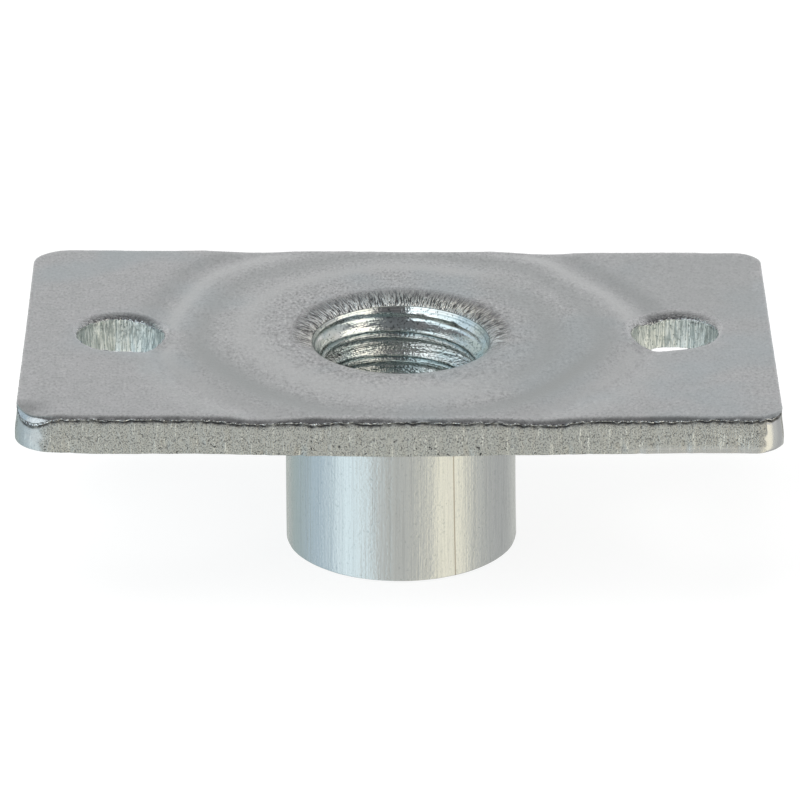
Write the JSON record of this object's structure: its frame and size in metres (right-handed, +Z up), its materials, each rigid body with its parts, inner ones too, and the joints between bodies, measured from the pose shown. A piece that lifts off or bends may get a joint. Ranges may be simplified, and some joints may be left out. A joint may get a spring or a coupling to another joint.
{
  "type": "tee nut",
  "caption": "Screw-on tee nut: a rectangular steel plate with screw holes and a threaded collar drawn down from its middle.",
  "frame": {"origin": "on the axis of the thread, in the plane of the plate's underside, which is the face that seats on the panel", "axes": "+Z up out of the mouth, along the thread, so the collar hangs down along -Z; +X along the plate, through both screw holes; +Y across the plate"},
  "size_m": [0.042, 0.024, 0.0125],
  "materials": {
    "zinc_steel": "bright zinc plating with a clear blue passivate"
  },
  "bodies": {
    "root": {"tee_nut": "zinc_steel"}
  },
  "joints": []
}
